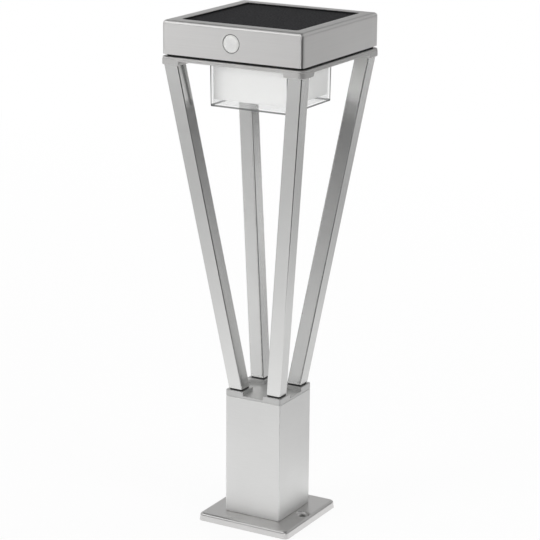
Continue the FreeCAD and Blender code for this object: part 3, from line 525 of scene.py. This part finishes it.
def makeSensorDome():
    s = sensorDome
    low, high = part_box("sensor_lens")
    radius = (high.x - low.x) / 2 * mmPerMetre - s["trim"]
    top = low.y * mmPerMetre
    face = top + s["bulge"]
    back = high.y * mmPerMetre
    centreZ = (low.z + high.z) / 2
    ball = (radius ** 2 + s["bulge"] ** 2) / (2 * s["bulge"])
    rim = radius - s["lip"]
    core = rim - s["wall"]

    def capDepth(r, size):
        return size - math.sqrt(size ** 2 - r ** 2)  # how far a cap of that ball lies behind its top

    rows = []  # distance from the axis, place along Y, and a pillow's ring or none
    for start, end, count in s["zones"]:
        for i in range(s["rowsPerZone"] + 1):
            if start > 0 and i == 0:
                continue
            r = start + (end - start) * max(i, s["firstRow"]) / s["rowsPerZone"]
            rows.append((r, top + capDepth(r, ball), (start, end, count)))
    for r in (*s["plainRows"], radius):
        rows.append((r, top + capDepth(r, ball), None))
    rows += [(radius, face + s["edge"], None), (rim, face + s["edge"], None), (rim, back, None)]
    rows.append((core, back, None))
    for i in range(s["innerRows"], 0, -1):
        r = core * i / s["innerRows"]
        rows.append((r, top + s["wall"] + capDepth(r, ball - s["wall"]), None))
    points, faces = [], []
    n = s["around"]
    for r, y, zone in rows:
        for j in range(n):
            turn = 2 * math.pi * j / n
            sink = 0.0
            if zone:
                start, end, count = zone
                u = (2 * r - start - end) / (end - start) if start > 0 else r / end
                v = 2 * ((count * j / n) % 1.0) - 1 if count > 1 else 0.0
                sink = s["pillowDepth"] * (u * u + v * v) / 2
            points.append((r * math.cos(turn) / mmPerMetre, (y + sink) / mmPerMetre,
                           centreZ + r * math.sin(turn) / mmPerMetre))
    for i in range(len(rows) - 1):
        for j in range(n):
            k = (j + 1) % n
            faces.append((i * n + j, (i + 1) * n + j, (i + 1) * n + k, i * n + k))
    faces.append(tuple(range(n)))
    faces.append(tuple(range(len(rows) * n - 1, (len(rows) - 1) * n - 1, -1)))
    dome = meshPiece("sensor_dome", points, faces, finishes["milkyPolythene"])
    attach(dome, lampBody)
    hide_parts("sensor_lens")
    print("sensor dome,", len(faces), "faces")


makeSensorDome()

# Studio: a white table, soft boxes, and a grey room with cards that only the reflections see
studio = {
    "tableSize": 14.0,
    "tableColour": "#f4f4f4",
    # share of plain white in what the eye and the reflections see, near and far; the rest is lit and shaded
    "tableGlow": (0.92, 1.0),
    "glowReach": (0.5, 2.0),
    "plateShare": 0.96,  # of the base plate's half width, where the table doesn't glow
    # painted light and shade: tones of the table in the reflections, by distance in metres up to tableReach,
    # white near the object and darker further out
    "tableReach": 3.2,
    "tableTones": ((0.0, "#ffffff"), (0.04, "#ffffff"), (0.08, "#fafafa"), (0.17, "#d8d8d8"),
                   (0.29, "#a8a8a8"), (0.42, "#c0c0c0"), (1.0, "#b8b8b8")),
    "worldColour": "#ffffff",
    "worldFill": 0.4,
    "roomRadius": 3.2,
    "roomHeight": 5.1,
    "roomSides": 96,
    # the room's tones from the table up to its roof
    "roomTones": ((0.0, "#c4c4c4"), (0.10, "#c4c4c4"), (0.15, "#a0a0a0"), (0.34, "#a0a0a0"),
                  (0.40, "#cccccc"), (0.8, "#cccccc"), (1.0, "#484848")),
    "cardSteps": 12,
    "aimHeight": 0.25,  # where the soft boxes point
}
# Cards round the object: direction and half width in degrees, then distance and height of two edges in metres
cards = {
    "darkAisle": {"direction": -42, "halfWidth": 37, "edges": ((0.42, 0.002), (3.1, 0.002)),
                  "colour": "#1c1c1c", "strength": 1.0},
    "darkCurtain": {"direction": -22, "halfWidth": 40, "edges": ((3.1, 0.0), (3.1, 1.1)),
                    "colour": "#242424", "strength": 1.0},
    "lightStrip": {"direction": -72, "halfWidth": 5, "edges": ((3.1, 0.6), (3.1, 1.5)),
                   "colour": "#ffffff", "strength": 4.0},
    "whiteFoot": {"direction": -120, "halfWidth": 36, "edges": ((1.7, 0.002), (3.12, 0.05)),
                  "colour": "#f0f0f0", "strength": 2.15},
    "whiteCard": {"direction": -140, "halfWidth": 20, "edges": ((3.1, 0.05), (3.1, 0.9)),
                  "colour": "#aeaeae", "strength": 1.0},
    "darkGap": {"direction": -101, "halfWidth": 18, "edges": ((3.1, 0.05), (3.1, 1.4)),
                "colour": "#202020", "strength": 1.0},
    "highCard": {"direction": -120, "halfWidth": 36, "edges": ((3.1, 1.9), (3.1, 4.9)),
                 "colour": "#ffffff", "strength": 1.5},
    "rightFoot": {"direction": 76, "halfWidth": 19, "edges": ((2.5, 0.002), (3.12, 0.05)),
                  "colour": "#e6e6e6", "strength": 2.5},
    "darkRight": {"direction": 61, "halfWidth": 30, "edges": ((3.1, 0.05), (3.1, 0.8)),
                  "colour": "#2c2c2c", "strength": 1.0},
    "softRight": {"direction": 61, "halfWidth": 34, "edges": ((3.1, 0.8), (3.1, 1.7)),
                  "colour": "#bcbcbc", "strength": 1.0},
    "nearRight": {"direction": 61, "halfWidth": 34, "edges": ((0.15, 0.002), (0.42, 0.002)),
                  "colour": "#e0e0e0", "strength": 1.0},
    "backCard": {"direction": 150, "halfWidth": 52, "edges": ((3.1, 0.55), (3.1, 1.9)),
                 "colour": "#dadada", "strength": 1.0},
    "darkLoft": {"direction": 122, "halfWidth": 28, "edges": ((3.1, 1.9), (3.1, 5.0)),
                 "colour": "#707070", "strength": 1.0},
}
softBoxes = {
    "keyBox": {"place": (-1.5, -2.5, 0.7), "size": 1.4, "power": 50},
    "topBox": {"place": (0.2, 0.3, 2.3), "size": 1.6, "power": 14},
    "fillBox": {"place": (2.4, -0.5, 0.9), "size": 1.2, "power": 21},
    "backBox": {"place": (-0.6, 2.6, 0.8), "size": 1.4, "power": 26},
}


def seenRays(tree):
    path = addNode(tree, "ShaderNodeLightPath")
    straight = addNode(tree, "ShaderNodeMath", {"operation": "MAXIMUM"},
                       {0: path.outputs["Is Camera Ray"], 1: path.outputs["Is Glossy Ray"]})
    seen = addNode(tree, "ShaderNodeMath", {"operation": "MAXIMUM"},
                   {0: straight.outputs[0], 1: path.outputs["Is Transmission Ray"]})
    return path, seen


def makeTable():
    s = studio
    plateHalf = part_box("base_plate")[1].x
    material, tree = newMaterial("whiteTable")
    place = addNode(tree, "ShaderNodeTexCoord")
    path, seen = seenRays(tree)
    # no glow under the base plate, so that its holes look dark
    axes = addNode(tree, "ShaderNodeSeparateXYZ", links={"Vector": place.outputs["Object"]})
    x = addNode(tree, "ShaderNodeMath", {"operation": "ABSOLUTE"}, {0: axes.outputs["X"]})
    y = addNode(tree, "ShaderNodeMath", {"operation": "ABSOLUTE"}, {0: axes.outputs["Y"]})
    reach = addNode(tree, "ShaderNodeMath", {"operation": "MAXIMUM"}, {0: x.outputs[0], 1: y.outputs[0]})
    isOpen = addNode(tree, "ShaderNodeMath", {"operation": "GREATER_THAN", 1: s["plateShare"] * plateHalf},
                     {0: reach.outputs[0]})
    openShare = addNode(tree, "ShaderNodeMath", {"operation": "MULTIPLY"},
                        {0: seen.outputs[0], 1: isOpen.outputs[0]})
    away = addNode(tree, "ShaderNodeVectorMath", {"operation": "LENGTH"}, {0: place.outputs["Object"]})
    most = addNode(tree, "ShaderNodeMapRange",
                   {"From Min": s["glowReach"][0], "From Max": s["glowReach"][1],
                    "To Min": s["tableGlow"][0], "To Max": s["tableGlow"][1]},
                   {"Value": away.outputs["Value"]})
    share = addNode(tree, "ShaderNodeMath", {"operation": "MULTIPLY"},
                    {0: openShare.outputs[0], 1: most.outputs[0]})
    part = addNode(tree, "ShaderNodeMapRange", {"From Max": s["tableReach"]},
                   {"Value": away.outputs["Value"]})
    paintedTone = addNode(tree, "ShaderNodeValToRGB", {"stops": s["tableTones"]}, {"Fac": part.outputs[0]})
    # painted light and shade: the reflections see the table in these tones, the eye sees it white
    colour = addNode(tree, "ShaderNodeMix", {"data_type": "RGBA", 6: (1, 1, 1, 1)},
                     {0: path.outputs["Is Glossy Ray"], 7: paintedTone.outputs[0]})
    paper = addNode(tree, "ShaderNodeBsdfDiffuse", {"Color": linear(s["tableColour"])})
    glow = addNode(tree, "ShaderNodeEmission", {"Strength": 1.0}, {"Color": colour.outputs[2]})
    mix = addNode(tree, "ShaderNodeMixShader",
                  links={0: share.outputs[0], 1: paper.outputs[0], 2: glow.outputs[0]})
    addNode(tree, "ShaderNodeOutputMaterial", links={"Surface": mix.outputs[0]})
    half = s["tableSize"] / 2
    table = meshPiece("table", [(-half, -half, 0), (half, -half, 0), (half, half, 0), (-half, half, 0)],
                      [(0, 1, 2, 3)], material)


def onlyReflected(piece):
    piece.visible_camera = False
    piece.visible_diffuse = False
    piece.visible_transmission = False
    piece.visible_shadow = False


def makeRoom():
    s = studio
    material, tree = newMaterial("greyRoom")
    place = addNode(tree, "ShaderNodeTexCoord")
    axes = addNode(tree, "ShaderNodeSeparateXYZ", links={"Vector": place.outputs["Object"]})
    height = addNode(tree, "ShaderNodeMapRange", {"From Max": s["roomHeight"]}, {"Value": axes.outputs["Z"]})
    colour = addNode(tree, "ShaderNodeValToRGB", {"stops": s["roomTones"]}, {"Fac": height.outputs[0]})
    glow = addNode(tree, "ShaderNodeEmission", {"Strength": 1.0}, {"Color": colour.outputs[0]})
    addNode(tree, "ShaderNodeOutputMaterial", links={"Surface": glow.outputs[0]})
    points, faces = [], []
    sides = s["roomSides"]
    for level in (0, s["roomHeight"]):
        for i in range(sides):
            angle = 2 * math.pi * i / sides
            points.append((s["roomRadius"] * math.cos(angle), s["roomRadius"] * math.sin(angle), level))
    for i in range(sides):
        j = (i + 1) % sides
        faces.append((i, j, sides + j, sides + i))
    faces.append(tuple(range(sides, 2 * sides)))
    onlyReflected(meshPiece("room", points, faces, material))


def makeCards():
    steps = studio["cardSteps"]
    for name, s in cards.items():
        material, tree = newMaterial(name)
        glow = addNode(tree, "ShaderNodeEmission", {"Color": linear(s["colour"]), "Strength": s["strength"]})
        addNode(tree, "ShaderNodeOutputMaterial", links={"Surface": glow.outputs[0]})
        points, faces = [], []
        for i in range(steps + 1):
            angle = math.radians(s["direction"] + s["halfWidth"] * (2 * i / steps - 1))
            points += [(d * math.cos(angle), d * math.sin(angle), z) for d, z in s["edges"]]
            if i:
                faces.append((2 * i - 2, 2 * i, 2 * i + 1, 2 * i - 1))
        onlyReflected(meshPiece(name, points, faces, material))


def makeWorld():
    world = bpy.data.worlds.new("studioWorld")
    world.use_nodes = True
    tree = world.node_tree
    tree.nodes.clear()
    tint = linear(studio["worldColour"])
    seen = seenRays(tree)[1]
    white = addNode(tree, "ShaderNodeBackground", {"Color": tint, "Strength": 1.0})
    fill = addNode(tree, "ShaderNodeBackground", {"Color": tint, "Strength": studio["worldFill"]})
    mix = addNode(tree, "ShaderNodeMixShader",
                  links={0: seen.outputs[0], 1: fill.outputs[0], 2: white.outputs[0]})
    addNode(tree, "ShaderNodeOutputWorld", links={"Surface": mix.outputs[0]})
    bpy.context.scene.world = world


def makeSoftBoxes():
    aim = Vector((0, 0, studio["aimHeight"]))
    for name, s in softBoxes.items():
        light = bpy.data.lights.new(name, "AREA")
        light.shape = "SQUARE"
        light.size = s["size"]
        light.energy = s["power"]
        box = bpy.data.objects.new(name, light)
        box.location = s["place"]
        box.rotation_euler = (aim - box.location).to_track_quat("-Z", "Y").to_euler()
        box.visible_glossy = False
        bpy.context.scene.collection.objects.link(box)


# Camera found from the object's straight edges in the photograph: degrees, metres, and the lens in mm
camera = {"azimuth": 29.498, "pitch": 15.782, "roll": 0.511, "distance": 2.042154, "height": 0.252665,
          "aside": 0.000552, "lens": 140.611, "sensor": 36.0}


def makeCamera():
    s = camera
    a, p, r = (math.radians(s[k]) for k in ("azimuth", "pitch", "roll"))
    back = Vector((math.sin(a) * math.cos(p), -math.cos(a) * math.cos(p), math.sin(p)))
    right = Vector((math.cos(a), math.sin(a), 0))
    up = back.cross(right)
    rolledRight = math.cos(r) * right + math.sin(r) * up
    rolledUp = math.cos(r) * up - math.sin(r) * right
    data = bpy.data.cameras.new("camera")
    data.lens = s["lens"]
    data.sensor_width = s["sensor"]
    eye = bpy.data.objects.new("camera", data)
    turn = Matrix((rolledRight, rolledUp, back)).transposed().to_4x4()
    target = Vector((0, 0, s["height"])) + s["aside"] * right
    eye.matrix_world = Matrix.Translation(target + s["distance"] * back) @ turn
    bpy.context.scene.collection.objects.link(eye)
    bpy.context.scene.camera = eye


makeTable()
makeRoom()
makeCards()
makeWorld()
makeSoftBoxes()
makeCamera()
bpy.context.scene.view_settings.view_transform = "Standard"
print("studio ready")
